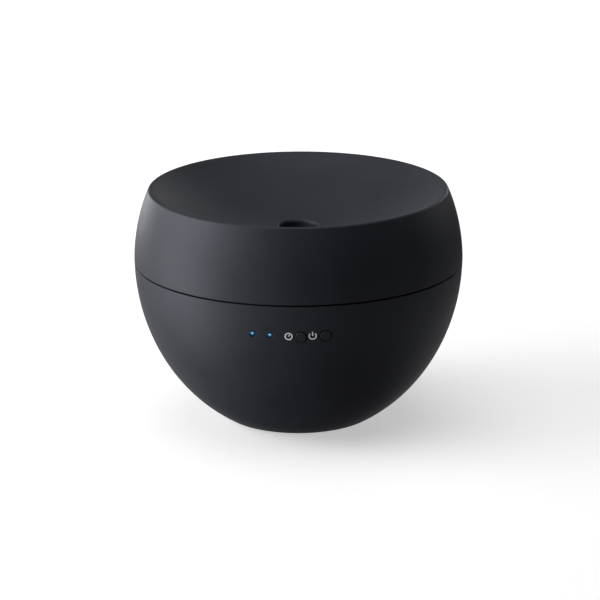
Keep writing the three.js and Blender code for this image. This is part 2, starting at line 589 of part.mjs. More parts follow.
function buildWiring() {
  lead("power_lead", 1.2, 18, [[2.6, 33.6, 18.4], [2.8, 30.4, 17.6], [8, 22, 18], [12, 13, 23], [12.5, 6, 29], [12.5, 1, 31.4],
    [12.5, 0, 28.4]]);
  lead("fan_lead", 0.9, 18, [[-20.5, 22, 34], [-22.6, 21.4, 33.8], [-22.4, 14, 33.4], [-14, 6, 33], [-9, 2.4, 31.8],
    [-8, 1, 28.4]]);
  lead("transducer_lead", 0.9, 14, [[-3, -18, 38.8], [-3.4, -17.6, 34], [-1, -15.6, 29], [1.5, -16.4, 25], [1.6, -17, 22]]);
  lead("panel_lead", 1.2, 20, [behindPanel(-8, -3, 0.3), behindPanel(-8, -3, 4.3), [-9, -53, 52], [-10.4, -45.4, 43],
    [-11.2, -38, 36], [-11.2, -32.4, 33], [-11, -31.2, 28.4]]);
}

buildCover();
buildHood();
buildHousing();
buildBase();
buildTank();
buildTransducer();
buildFan();
buildBoard();
buildPanel();
buildInlet();
buildWiring();

export default diffuser;
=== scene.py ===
"""Looks for the round tabletop aroma diffuser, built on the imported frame.

Shapes are worked out in millimetres, in the part's own frame, and become metres when a mesh is made.
"""

import json
import math

import bmesh
import bpy
from mathutils import Matrix, Vector


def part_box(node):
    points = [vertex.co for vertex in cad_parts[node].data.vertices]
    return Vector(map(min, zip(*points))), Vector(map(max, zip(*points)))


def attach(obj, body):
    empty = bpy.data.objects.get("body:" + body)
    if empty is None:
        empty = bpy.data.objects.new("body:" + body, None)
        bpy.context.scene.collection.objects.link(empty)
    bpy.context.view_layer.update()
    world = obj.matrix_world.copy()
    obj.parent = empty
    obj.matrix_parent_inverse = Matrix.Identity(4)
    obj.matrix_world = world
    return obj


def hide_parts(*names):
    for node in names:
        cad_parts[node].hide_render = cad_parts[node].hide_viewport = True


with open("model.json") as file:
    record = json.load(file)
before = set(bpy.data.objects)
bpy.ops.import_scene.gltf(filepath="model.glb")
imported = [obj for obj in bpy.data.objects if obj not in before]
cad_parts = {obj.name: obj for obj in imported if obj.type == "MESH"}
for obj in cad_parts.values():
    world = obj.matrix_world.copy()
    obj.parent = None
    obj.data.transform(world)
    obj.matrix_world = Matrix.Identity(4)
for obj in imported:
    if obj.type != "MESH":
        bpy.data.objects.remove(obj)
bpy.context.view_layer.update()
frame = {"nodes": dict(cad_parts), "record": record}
MM = 0.001


# ---- Driving dimensions, the part's own ------------------------------------------------------------------
def box_mm(node):
    return [[value / MM for value in corner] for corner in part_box(node)]


COVER_LOW, COVER_HIGH = box_mm("cover")
HOUSING_LOW, HOUSING_HIGH = box_mm("lower_housing")
HEIGHT = COVER_HIGH[2]
COVER_A = (COVER_HIGH[0] - COVER_LOW[0]) / 2  # half width of the cover's ellipse
COVER_B = 87.5  # its half height
COVER_EDGE_Z = COVER_LOW[2]  # its widest place
HOUSING_A = 82.45  # half width of the housing's ellipse
HOUSING_B = 92.4
HOUSING_WIDEST_Z = 83.3  # height of that ellipse's centre
HOUSING_EDGE_Z = HOUSING_HIGH[2]
HOUSING_Z = HOUSING_LOW[2]
WALL = 2.4
FIT = 0.3  # gap between pieces that touch
LIP_Z = 84.6  # top of the tank's lip, which carries the cover

RIM_ROUND = 1.3
RIM_SLOPE = 23  # degrees that the cover's wall leans in at the rim
DISH_R = 73.3
DISH_DEPTH = 19.4
DISH_Z = HEIGHT - DISH_DEPTH  # lowest point of the dish's sphere
HOLE_R = 9.4
HOLE_ROUND = 1.8
SPOUT_END_Z = 88.0
SPOUT_WALL = 2.0

PANEL_Z = 65.1  # height of the row of buttons
BUTTON_X = {"timer": 5.75, "power": 17.75}
SYMBOL_X = {"timer": -0.1, "power": 11.45}
LED_X = {"left": -17.6, "right": -9.2}
LED_RAISE = 0.6


def ellipse(a, b, z):
    return a * math.sqrt(max(0, 1 - (z / b) ** 2))


def cover_radius(z, inset=0):
    return ellipse(COVER_A - inset, COVER_B - inset, z - COVER_EDGE_Z)


def housing_radius(z, inset=0):
    return ellipse(HOUSING_A - inset, HOUSING_B - inset, z - HOUSING_WIDEST_Z)


# The control panel's own frame: +X to the right, +Y up, +Z out of the housing's surface.
PANEL_R = housing_radius(PANEL_Z)
PANEL_TILT = math.atan2((HOUSING_WIDEST_Z - PANEL_Z) / HOUSING_B**2, PANEL_R / HOUSING_A**2)
ON_PANEL = Matrix.Translation((0, -PANEL_R, PANEL_Z)) @ Matrix.Rotation(math.pi / 2 + PANEL_TILT, 4, "X")


# ---- Mesh helpers ----------------------------------------------------------------------------------------
def new_object(name, bm, sharp=35):
    """An object from a bmesh in millimetres, shaded smooth but for edges over `sharp` degrees."""
    bmesh.ops.remove_doubles(bm, verts=bm.verts, dist=1e-5)
    bmesh.ops.dissolve_degenerate(bm, edges=bm.edges, dist=1e-6)
    bmesh.ops.recalc_face_normals(bm, faces=bm.faces)
    mesh = bpy.data.meshes.new(name)
    bm.to_mesh(mesh)
    bm.free()
    mesh.transform(Matrix.Scale(MM, 4))
    shade(mesh, sharp)
    obj = bpy.data.objects.new(name, mesh)
    bpy.context.scene.collection.objects.link(obj)
    return obj


def shade(mesh, sharp=35):
    mesh.shade_smooth()
    mesh.set_sharp_from_angle(angle=math.radians(sharp))


def lathe(name, outline, steps=192, place=Matrix.Identity(4), sharp=35):
    """A closed outline of (radius, height) points turned about the Z axis, then placed."""
    bm = bmesh.new()
    rings = []
    for i in range(steps):
        angle = 2 * math.pi * i / steps
        turn = (math.cos(angle), math.sin(angle))
        rings.append([bm.verts.new(place @ Vector((r * turn[0], r * turn[1], z))) for r, z in outline])
    for i, ring in enumerate(rings):
        following = rings[(i + 1) % steps]
        for j in range(len(outline)):
            k = (j + 1) % len(outline)
            if outline[j][0] > 1e-6 or outline[k][0] > 1e-6:
                bm.faces.new((ring[j], following[j], following[k], ring[k]))
    return new_object(name, bm, sharp)


def block(name, low, high, place=Matrix.Identity(4), rounding=0.0):
    """A box between two corners, with its edges rounded."""
    bm = bmesh.new()
    bmesh.ops.create_cube(bm, size=1)
    size = Matrix.Diagonal([h - l for l, h in zip(low, high)] + [1])
    centre = Matrix.Translation([(l + h) / 2 for l, h in zip(low, high)])
    bm.transform(centre @ size)
    if rounding:
        bmesh.ops.bevel(bm, geom=bm.edges, offset=rounding, segments=3, profile=0.5, affect="EDGES")
    bm.transform(place)
    return new_object(name, bm)


def arc(r, z, rounding, start, end, steps=8):
    """Points on an arc about (r, z), between two angles in degrees."""
    angles = [math.radians(start + (end - start) * i / steps) for i in range(steps + 1)]
    return [(r + rounding * math.cos(a), z + rounding * math.sin(a)) for a in angles]


def wall_points(radius_at, z0, z1, steps):
    heights = [z0 + (z1 - z0) * i / steps for i in range(steps + 1)]
    return [(radius_at(z), z) for z in heights]


def rounded(corners, steps=4):
    """An outline from (radius, height, rounding) corners: each corner becomes an arc of that rounding."""
    outline = []
    for i, (r, z, rounding) in enumerate(corners):
        here = Vector((r, z))
        before = Vector(corners[i - 1][:2]) - here
        after = Vector(corners[(i + 1) % len(corners)][:2]) - here
        if rounding <= 0 or before.length < 1e-9 or after.length < 1e-9:
            outline.append((r, z))
            continue
        bend = before.angle(after)
        reach = min(rounding / math.tan(bend / 2), before.length * 0.49, after.length * 0.49)
        start = here + before.normalized() * reach
        end = here + after.normalized() * reach
        for j in range(steps + 1):
            t = j / steps
            outline.append(tuple(start * (1 - t) ** 2 + here * 2 * t * (1 - t) + end * t**2))
    return outline


def combine(base, tools, operation):
    """Joins or cuts `base` with each tool, and removes the tools."""
    for tool in tools:
        modifier = base.modifiers.new("cut", "BOOLEAN")
        modifier.operation = operation
        modifier.solver = "MANIFOLD"
        modifier.object = tool
    depsgraph = bpy.context.evaluated_depsgraph_get()
    mesh = bpy.data.meshes.new_from_object(base.evaluated_get(depsgraph))
    base.modifiers.clear()
    base.data = mesh
    shade(mesh)
    for tool in tools:
        bpy.data.objects.remove(tool)


def join(base, tools):
    combine(base, tools, "UNION")


def cut(base, tools):
    combine(base, tools, "DIFFERENCE")


def bar(r, z0, z1, x=0.0, y=0.0, steps=48, place=Matrix.Identity(4)):
    here = place @ Matrix.Translation((x, y, 0))
    return lathe("tool", [(0, z0), (r, z0), (r, z1), (0, z1)], steps, here)


# ---- Materials -------------------------------------------------------------------------------------------
def material(name, colour, roughness, metallic=0.0):
    """A new material with its shader, set up for more nodes."""
    mat = bpy.data.materials.new(name)
    mat.use_nodes = True
    shader = mat.node_tree.nodes["Principled BSDF"]
    shader.inputs["Base Color"].default_value = (*colour, 1)
    shader.inputs["Roughness"].default_value = roughness
    shader.inputs["Metallic"].default_value = metallic
    return mat, mat.node_tree, shader


def noise(tree, scale, detail=3.0, stretch=(1, 1, 1)):
    """A noise texture in object space; scale is in cycles a metre."""
    position = tree.nodes.new("ShaderNodeTexCoord")
    spread = tree.nodes.new("ShaderNodeMapping")
    spread.inputs["Scale"].default_value = stretch
    texture = tree.nodes.new("ShaderNodeTexNoise")
    texture.inputs["Scale"].default_value = scale
    texture.inputs["Detail"].default_value = detail
    tree.links.new(position.outputs["Object"], spread.inputs["Vector"])
    tree.links.new(spread.outputs["Vector"], texture.inputs["Vector"])
    return texture


def vary(tree, texture, socket, low, high):
    """Drives a number between two values with a texture."""
    spread = tree.nodes.new("ShaderNodeMapRange")
    spread.inputs["From Min"].default_value = 0.3
    spread.inputs["From Max"].default_value = 0.7
    spread.inputs["To Min"].default_value = low
    spread.inputs["To Max"].default_value = high
    tree.links.new(texture.outputs["Fac"], spread.inputs["Value"])
    tree.links.new(spread.outputs["Result"], socket)


def tint(tree, texture, socket, dark, light):
    """Drives a colour between two values with a texture."""
    ramp = tree.nodes.new("ShaderNodeValToRGB")
    ramp.color_ramp.elements[0].position = 0.35
    ramp.color_ramp.elements[1].position = 0.65
    ramp.color_ramp.elements[0].color = (*dark, 1)
    ramp.color_ramp.elements[1].color = (*light, 1)
    tree.links.new(texture.outputs["Fac"], ramp.inputs["Fac"])
    tree.links.new(ramp.outputs["Color"], socket)


def bump(tree, shader, texture, depth):
    """Raises the surface by up to `depth` metres with a texture."""
    node = tree.nodes.new("ShaderNodeBump")
    node.inputs["Distance"].default_value = depth
    tree.links.new(texture.outputs["Fac"], node.inputs["Height"])
    tree.links.new(node.outputs["Normal"], shader.inputs["Normal"])


def moulded(name, colour, roughness, grain=0.25, depth=0.006, spread=0.06):
    """Moulded plastic or rubber: fine grain, and slow changes of gloss and shade. Grain is in millimetres."""
    mat, tree, shader = material(name, colour, roughness)
    slow = noise(tree, 45, 2)
    vary(tree, slow, shader.inputs["Roughness"], roughness - spread, roughness + spread)
    dark = [c * 0.93 for c in colour]
    light = [min(1, c * 1.07) for c in colour]
    tint(tree, slow, shader.inputs["Base Color"], dark, light)
    bump(tree, shader, noise(tree, 1 / (grain * MM), 2), depth * MM)
    return mat


def soft_touch():
    """Matt rubbery paint: a broad sheen over near-black."""
    mat = moulded("soft_touch_paint", (0.032, 0.034, 0.042), 0.5, grain=0.18, depth=0.004, spread=0.03)
    shader = mat.node_tree.nodes["Principled BSDF"]
    shader.inputs["Specular IOR Level"].default_value = 0.25
    shader.inputs["Specular Tint"].default_value = (0.93, 0.97, 1.1, 1)
    return mat


def brushed(name, colour, roughness):
    """Metal with fine turned or drawn lines."""
    mat, tree, shader = material(name, colour, roughness, 1.0)
    lines = noise(tree, 900, 2, (1, 1, 12))
    vary(tree, lines, shader.inputs["Roughness"], roughness - 0.08, roughness + 0.1)
    bump(tree, shader, lines, 0.004 * MM)
    return mat


def lamp_part(name, colour, glow, strength):
    """Tinted clear plastic with a light of that colour and strength coming through it. On the small discs
    laid on the lamp lenses, the glow is a painted highlight.
    """
    mat, tree, shader = material(name, colour, 0.15)
    shader.inputs["Emission Color"].default_value = (*glow, 1)
    shader.inputs["Emission Strength"].default_value = strength
    bump(tree, shader, noise(tree, 1800, 2), 0.01 * MM)
    return mat


def symbol_ink():
    """White print, faintly lit from behind."""
    mat = moulded("symbol_ink", (0.86, 0.86, 0.87), 0.55, grain=0.15, depth=0.004)
    shader = mat.node_tree.nodes["Principled BSDF"]
    shader.inputs["Emission Color"].default_value = (1, 1, 1, 1)
    shader.inputs["Emission Strength"].default_value = 0.1
    return mat


def circuit_board():
    """Green solder mask with faint copper tracks under it."""
    mat, tree, shader = material("solder_mask", (0.012, 0.1, 0.042), 0.35)
    tracks = noise(tree, 260, 0, (1, 1, 0.1))
    tint(tree, tracks, shader.inputs["Base Color"], (0.008, 0.075, 0.03), (0.02, 0.15, 0.06))
    bump(tree, shader, tracks, 0.03 * MM)
    return mat


MATERIALS = {
    "soft_touch_plastic": soft_touch(),
    "hood_plastic": moulded("hood_plastic", (0.012, 0.012, 0.014), 0.35, 0.4, 0.003),
    "tank_plastic": moulded("tank_plastic", (0.046, 0.05, 0.058), 0.32, 0.5, 0.003),
    "base_plastic": moulded("base_plastic", (0.015, 0.016, 0.018), 0.55, 0.35, 0.02),
    "rubber": moulded("foot_rubber", (0.009, 0.009, 0.01), 0.8, 0.3, 0.012),
    "silicone": moulded("silicone", (0.62, 0.6, 0.56), 0.5, 0.5, 0.004),
    "steel": brushed("zinc_steel", (0.55, 0.57, 0.6), 0.3),
    "dark_steel": brushed("black_steel", (0.06, 0.062, 0.068), 0.4),
    "aluminium": brushed("aluminium", (0.6, 0.62, 0.64), 0.38),
    "copper": brushed("copper_wire", (0.72, 0.32, 0.14), 0.3),
    "brass": brushed("brass", (0.72, 0.5, 0.17), 0.25),
    "black_plastic": moulded("black_plastic", (0.01, 0.01, 0.011), 0.42, 0.3, 0.006),
    "white_plastic": moulded("white_plastic", (0.72, 0.69, 0.6), 0.45, 0.4, 0.004),
    "circuit_board": circuit_board(),
    "blue_sleeve": moulded("blue_sleeve", (0.017, 0.05, 0.156), 0.28, 0.8, 0.004),
    "blue_lamp": lamp_part("lamp_lens", (0.002, 0.014, 0.03), (0.01, 0.36, 0.9), 0.035),
    "wire_sleeve": moulded("wire_sleeve", (0.012, 0.012, 0.014), 0.5, 0.6, 0.004),
}


def finish(obj, slot, body, *nodes, mat=None):
    """Gives a piece its material and body, and hides the CAD nodes it stands for."""
    obj.data.materials.clear()
    obj.data.materials.append(mat or MATERIALS[slot])
    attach(obj, body)
    if nodes:
        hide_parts(*nodes)
    return obj


# ---- Cover -----------------------------------------------------------------------------------------------
DISH_SPHERE = (DISH_R**2 + DISH_DEPTH**2) / (2 * DISH_DEPTH)


def dish_z(r):
    return DISH_Z + DISH_SPHERE - math.sqrt(DISH_SPHERE**2 - r**2)


def dish_points(r0, r1, drop, steps):
    radii = [r0 + (r1 - r0) * i / steps for i in range(steps + 1)]
    return [(r, dish_z(r) - drop) for r in radii]


def make_cover():
    rim_z = HEIGHT - RIM_ROUND
    wall_top = rim_z + RIM_ROUND * math.sin(math.radians(RIM_SLOPE))
    rim_r = cover_radius(wall_top) - RIM_ROUND * math.cos(math.radians(RIM_SLOPE))
    dish_slope = math.degrees(math.asin(DISH_R / DISH_SPHERE))
    lip_r = HOLE_R + HOLE_ROUND
    edge = cover_radius(COVER_EDGE_Z)
    edge_round = 0.3
    spout_r = HOLE_R + SPOUT_WALL
    shell = lathe("cover_shell", [
        *arc(edge - edge_round, COVER_EDGE_Z + edge_round, edge_round, -90, 0, 4),
        *wall_points(cover_radius, COVER_EDGE_Z + 0.6, wall_top - 0.4, 34),
        *arc(rim_r, rim_z, RIM_ROUND, RIM_SLOPE, 90 + dish_slope, 12),
        *dish_points(DISH_R - 1.5, lip_r, 0, 44),
        *arc(lip_r, dish_z(lip_r) - HOLE_ROUND, HOLE_ROUND, 94, 180, 10),
        *arc(HOLE_R + 0.5, SPOUT_END_Z + 0.5, 0.5, 180, 270, 3),
        *arc(spout_r - 0.5, SPOUT_END_Z + 0.5, 0.5, -90, 0, 3),
        *dish_points(spout_r, DISH_R - 2, WALL * 1.08, 24),
        *wall_points(lambda z: cover_radius(z, WALL), HEIGHT - 6, COVER_EDGE_Z, 20),
    ], steps=256)
    # Six ribs end just above the tank's lip and set the seam's gap.
    turns = [Matrix.Rotation(math.radians(30 + 60 * i), 4, "Z") for i in range(6)]
    ribs = [block("tool", (76.6, -1, LIP_Z + FIT), (80.6, 1, 96), turn, 0.3) for turn in turns]
    join(ribs[0], ribs[1:])
    wall_middle = wall_points(lambda z: cover_radius(z, WALL / 2), COVER_EDGE_Z, 110, 20)
    combine(ribs[0], [lathe("tool", [(0, COVER_EDGE_Z), *wall_middle, (0, 110)], 128)], "INTERSECT")
    join(shell, ribs[:1])
    finish(shell, "soft_touch_plastic", "cover", "cover")


make_cover()


# ---- Mist hood -------------------------------------------------------------------------------------------
HOOD_SEAT_Z = 77.5
HOOD_END_Z = 72.5
HOOD_WALL = 1.8
SKIRT_R = 54.1
CHIMNEY_R = 14.4
CHIMNEY_Z = 94.0


def make_hood():
    seat = HOOD_SEAT_Z
    top = seat + HOOD_WALL
    chimney_in = CHIMNEY_R - HOOD_WALL
    skirt_in = SKIRT_R - HOOD_WALL
    hood = lathe("mist_hood_shell", rounded([
        (66, seat, 0.5), (66, top, 0.5), (55, top, 3), (46, top + 3.6, 8),
        (32, top + 7.2, 14), (18, top + 9, 3),
        (CHIMNEY_R, top + 10.4, 1), (CHIMNEY_R, CHIMNEY_Z, 0.6), (chimney_in, CHIMNEY_Z, 0.6),
        (chimney_in, top + 6.8, 1.5), (18, top + 5.4, 8), (32, top + 3.4, 14), (46, seat + 1.8, 4),
        (skirt_in, seat - 0.6, 2), (skirt_in, HOOD_END_Z, 0.5),
        (SKIRT_R, HOOD_END_Z, 0.5), (SKIRT_R, seat, 0.4),
    ], 6), steps=192)
    finish(hood, "hood_plastic", "hood", "mist_hood")


# ---- Lower housing ---------------------------------------------------------------------------------------
FLOOR_UNDER = 3.7
FLOOR_TOP = 6.1
RECESS_R = 34.3
INTAKE_R = 17.0
LEDGE_Z = 74.6
TANK_POSTS = [(29, 9), (-29, 9), (-29, -9), (29, -9)]
TANK_POST_Z = 36.0
BOARD_POSTS = [(21, -31), (-21, 1), (21, 1), (-21, -31)]
BOARD_Z = 20.0
BASE_SCREW_R = 29.0
BUTTON_R = 2.6
BUTTON_HOLE_R = 2.95
BUTTON_PROUD = 0.45
LED_R = 1.5
LED_HOLE_R = 1.7
BOARD_FACE = -13.0
PANEL_SCREWS = [(-25.5, -2), (25.5, -2)]
JACK_Z = 20.0
POCKET_Y = 51.0
POCKET_R = 7.0
ALONG_Y = Matrix.Rotation(-math.pi / 2, 4, "X")  # turns +Z to +Y


def around(count, radius, start):
    angles = [math.radians(start + 360 * i / count) for i in range(count)]
    return [(radius * math.cos(a), radius * math.sin(a)) for a in angles]


def panel_sag(x):
    return PANEL_R - math.sqrt(PANEL_R**2 - x**2)


def panel_hole(x, y, r, flare):
    """A cutter for a round hole through the panel, flared at the surface for a small chamfer."""
    surface = -panel_sag(x)
    wide = r + flare * 2
    outline = [(0, -8), (r, -8), (r, surface - flare), (wide, surface + flare), (wide, 3), (0, 3)]
    return lathe("tool", outline, 64, ON_PANEL @ Matrix.Translation((x, y, 0)))


def make_housing():
    def wall(z):
        return housing_radius(z, WALL)

    top_round = 0.25
    foot_round = 0.6
    top = housing_radius(HOUSING_EDGE_Z)
    shell = lathe("housing_shell", [
        *wall_points(wall, FLOOR_TOP, 71, 30),
        (75.8, 72.6), (75.8, LEDGE_Z), (76.9, LEDGE_Z), (76.9, LEDGE_Z - 1.3), (78.4, LEDGE_Z - 1.3),
        (78.4, LEDGE_Z), (wall(LEDGE_Z), LEDGE_Z), (wall(HOUSING_EDGE_Z), HOUSING_EDGE_Z),
        *arc(top - top_round, HOUSING_EDGE_Z - top_round, top_round, 90, 0, 3),
        *wall_points(housing_radius, HOUSING_EDGE_Z - 0.6, HOUSING_Z + foot_round, 64),
        *arc(housing_radius(HOUSING_Z) - foot_round, HOUSING_Z + foot_round, foot_round, -45, -90, 3),
        (RECESS_R + 0.3, HOUSING_Z), (RECESS_R, HOUSING_Z + 0.3), (RECESS_R, FLOOR_UNDER),
        (INTAKE_R, FLOOR_UNDER), (INTAKE_R, FLOOR_TOP),
    ], steps=256)
    inner_skin = wall_points(lambda z: housing_radius(z, 0.6), 2, 78, 24)
    envelope = lathe("tool", [(0, 2), *inner_skin, (0, 78)], 128)
    bosses = bar(9, POCKET_Y - 2.5, 70, 0, -JACK_Z, 64, ALONG_Y)
    others = [bar(2.8, BOARD_FACE + 0.3, -5.5, x, y, 32, ON_PANEL) for x, y in PANEL_SCREWS]
    others += [bar(4.2, FLOOR_TOP - 1, TANK_POST_Z, x, y) for x, y in TANK_POSTS]
    others += [bar(2.9, FLOOR_TOP - 1, BOARD_Z - 0.3, x, y) for x, y in BOARD_POSTS]
    others += [bar(1.2, BOARD_Z - 1, BOARD_Z + 2.4, x, y, 32) for x, y in BOARD_POSTS[2:]]
    others += [bar(3.6, FLOOR_TOP - 1, 13.5, x, y) for x, y in around(4, BASE_SCREW_R, 45)]
    others.append(block("tool", (-3.5, 37.5, FLOOR_TOP - 1), (3.5, 46, JACK_Z - 5.6)))
    join(bosses, others)
    combine(bosses, [envelope], "INTERSECT")
    join(shell, [bosses])

    holes = [panel_hole(x, 0, BUTTON_HOLE_R, 0.12) for x in BUTTON_X.values()]
    holes += [panel_hole(x, LED_RAISE, LED_HOLE_R, 0.1) for x in LED_X.values()]
    holes += [bar(1.4, BOARD_FACE, -8, x, y, 32, ON_PANEL) for x, y in PANEL_SCREWS]
    holes += [bar(3, 0, TANK_POST_Z - 2, x, y) for x, y in TANK_POSTS]
    holes += [bar(1.9, 30, TANK_POST_Z + 1, x, y, 32) for x, y in TANK_POSTS]
    holes += [bar(1.4, 11, BOARD_Z, x, y, 32) for x, y in BOARD_POSTS[:2]]
    holes += [bar(1.75, 0, 12.6, x, y, 32) for x, y in around(4, BASE_SCREW_R, 45)]
    holes.append(bar(POCKET_R, POCKET_Y, 80, 0, -JACK_Z, 96, ALONG_Y))
    holes.append(bar(4.4, POCKET_Y - 5, POCKET_Y + 1, 0, -JACK_Z, 64, ALONG_Y))
    cut(shell, holes)
    finish(shell, "soft_touch_plastic", "housing", "lower_housing")


# ---- Buttons, lamps and symbols --------------------------------------------------------------------------
def on_surface(x, y, proud):
    """The point of the housing's surface straight behind panel place (x, y), moved out by `proud`."""
    start = ON_PANEL @ Vector((x, y, 5))
    inward = (ON_PANEL.to_3x3() @ Vector((0, 0, -1))).normalized()
    near, far = 0.0, 12.0
    for _ in range(40):
        middle = (near + far) / 2
        here = start + inward * middle
        inside = math.hypot(here.x, here.y) < housing_radius(here.z, -proud)
        near, far = (near, middle) if inside else (middle, far)
    return start + inward * near


def make_buttons():
    for name, x in BUTTON_X.items():
        stop = -(panel_sag(x + 4) + WALL + 0.6)
        bm = bmesh.new()
        steps = 96
        edge = 0.3
        outline = [(BUTTON_R * t, 0.0) for t in (0.25, 0.5, 0.7, 0.85)]
        outline += [(r, z) for r, z in arc(BUTTON_R - edge, -edge, edge, 90, 0, 6)]
        centre = bm.verts.new(on_surface(x, 0, BUTTON_PROUD))
        outward = (ON_PANEL.to_3x3() @ Vector((0, 0, 1))).normalized()
        rings = []
        for r, drop in outline:
            ring = []
            for i in range(steps):
                a = 2 * math.pi * i / steps
                face = on_surface(x + r * math.cos(a), r * math.sin(a), BUTTON_PROUD)
                ring.append(bm.verts.new(face + outward * drop))
            rings.append(ring)
        for r, z in [(BUTTON_R, stop), (4, stop), (4, stop - 1), (1.8, stop - 1), (1.8, -8.2)]:
            ring = []
            for i in range(steps):
                a = 2 * math.pi * i / steps
                ring.append(bm.verts.new(ON_PANEL @ Vector((x + r * math.cos(a), r * math.sin(a), z))))
            rings.append(ring)
        for i in range(steps):
            j = (i + 1) % steps
            bm.faces.new((centre, rings[0][i], rings[0][j]))
            for inner, outer in zip(rings, rings[1:]):
                bm.faces.new((inner[i], outer[i], outer[j], inner[j]))
        bm.faces.new(rings[-1])
        button = new_object(f"{name}_button_cap", bm)
        finish(button, "soft_touch_plastic", f"{name}_button", f"{name}_button")


LAMP_CORE_RAISE = 0.22
# Small glowing discs on each lamp lens, placed where its highlight falls: painted highlights.
LAMP_PAINTED_HIGHLIGHTS = {"left": [(0, 0.36, 0.42)], "right": [(-0.3, 0.4, 0.24), (0.26, 0.32, 0.34)]}  # x, y, radius


def make_lamps():
    for side, x in LED_X.items():
        place = ON_PANEL @ Matrix.Translation((x, LED_RAISE, 0))
        tip = -panel_sag(x) - 0.05
        lens = lathe(f"lamp_lens_{side}", [
            (0, BOARD_FACE + 0.3), (1.9, BOARD_FACE + 0.3), (1.9, tip - 4.6), (LED_R, tip - 4.6),
            *arc(LED_R - 0.45, tip - 0.55, 0.45, 0, 60, 5), (0.9, tip - 0.1), (0.5, tip - 0.02), (0, tip),
        ], 48, place)
        finish(lens, "blue_lamp", "housing", f"status_lamp_{side}")
        core = lathe(f"lamp_core_{side}", [
            (0, tip - 0.4), (1, tip - 0.4), (0.98, tip - 0.06),
            (0.7, tip + 0.03), (0.3, tip + 0.07), (0, tip + 0.08),
        ], 48, place @ Matrix.Translation((0, LAMP_CORE_RAISE, 0)))
        finish(core, "blue_lamp", "housing", mat=MATERIALS["lamp_core"])
        # Painted highlights: glowing discs laid on the lens where its highlights fall.
        for i, (dx, dy, r) in enumerate(LAMP_PAINTED_HIGHLIGHTS[side]):
            top = tip + 0.12
            painted_highlight = lathe(f"lamp_spark_{side}_{i + 1}", [
                (0, tip - 0.2), (r, tip - 0.2), (r, top),
                (r * 0.8, top + 0.08), (r * 0.4, top + 0.14), (0, top + 0.16),
            ], 32, place @ Matrix.Translation((dx, dy, 0)))
            finish(painted_highlight, "blue_lamp", "housing", mat=MATERIALS["lamp_painted_highlight"])


def surface_strip(name, centre_line, width, x0, y0, thickness=0.05):
    """A thin print of that width along a line in the panel's plane, laid on the housing's surface."""
    bm = bmesh.new()
    ribs = []
    for i, (x, y) in enumerate(centre_line):
        ahead = Vector(centre_line[min(i + 1, len(centre_line) - 1)])
        behind = Vector(centre_line[max(i - 1, 0)])
        side = (ahead - behind).normalized().orthogonal() * width / 2
        rib = []
        for t, proud in ((-1, -0.02), (-1, thickness), (0, thickness), (1, thickness), (1, -0.02)):
            rib.append(bm.verts.new(on_surface(x0 + x + side.x * t, y0 + y + side.y * t, proud)))
        ribs.append(rib)
    for here, following in zip(ribs, ribs[1:]):
        for j in range(5):
            k = (j + 1) % 5
            bm.faces.new((here[j], following[j], following[k], here[k]))
    if (Vector(centre_line[0]) - Vector(centre_line[-1])).length > 1e-6:
        bm.faces.new(ribs[0])
        bm.faces.new(list(reversed(ribs[-1])))
    return new_object(name, bm)


def ring_line(radius, start, end, steps=48):
    angles = [math.radians(start + (end - start) * i / steps) for i in range(steps + 1)]
    return [(radius * math.cos(a), radius * math.sin(a)) for a in angles]


def make_symbols():
    """A clock and a power sign, printed in white."""
    ring_r = 1.7
    stroke = 0.56
    raised = 0.42
    x = SYMBOL_X["timer"]
    prints = [
        surface_strip("clock_symbol_ring", ring_line(ring_r, 0, 360), stroke, x, raised),
        surface_strip("clock_symbol_hand", [(0.08, -0.02), (0.3, 0.46), (0.52, 0.94)], 0.6, x, raised),
    ]
    x = SYMBOL_X["power"]
    prints += [
        surface_strip("power_symbol_ring", ring_line(ring_r, 133, 407), stroke, x, raised),
        surface_strip("power_symbol_bar", [(0, 0.1), (0, 1.1), (0, 2.2)], 0.56, x, raised),
    ]
    for piece in prints:
        finish(piece, "white_plastic", "housing", mat=MATERIALS["symbol_ink"])


# ---- Screws ----------------------------------------------------------------------------------------------
def make_screw(node, slot, place, shank_r, head_r, head_height, length):
    """A pan-head screw with a cross recess and a ringed thread; its head's underside is at z = 0."""
    thread_pitch = 0.8
    outline = [(0, -head_height), (head_r * 0.5, -head_height)]
    outline += [(head_r * (0.5 + 0.5 * math.sin(t)), -head_height * (0.4 + 0.6 * math.cos(t)))
                for t in (math.radians(a) for a in (25, 50, 70, 90))]
    outline += [(head_r, -0.1), (head_r - 0.1, 0), (shank_r, 0), (shank_r, 0.6)]
    z = 0.6
    while z < length - 1.6:
        outline += [(shank_r * 0.8, z + thread_pitch * 0.45), (shank_r * 0.8, z + thread_pitch * 0.55),
                    (shank_r, z + thread_pitch)]
        z += thread_pitch
    outline += [(shank_r * 0.8, length - 0.8), (0.2, length), (0, length)]
    screw = lathe(node + "_turned", outline, 48, place)
    arm = head_r * 0.62
    half = 0.17 * head_r
    low, high = (-arm, -half, -head_height - 1), (arm, half, -head_height * 0.45)
    turns = [Matrix.Rotation(math.radians(turn), 4, "Z") for turn in (20, 110)]
    cut(screw, [block("tool", low, high, place @ turn) for turn in turns])
    finish(screw, slot, "housing", node)


def screw_at(x, y, z):
    return Matrix.Translation((x, y, z))


# ---- Base: cover plate and feet --------------------------------------------------------------------------
BASE_R = 34.0
BASE_Z = 1.0
BASE_STEP = 2.5  # top of the recesses for feet and screw heads
BASE_TOP = FLOOR_UNDER - FIT
GRILLE_R = 15.5
SLOT_COUNT = 7
SLOT_PITCH = 4.0
FOOT_R = 4.5
FOOT_AT = 27.0


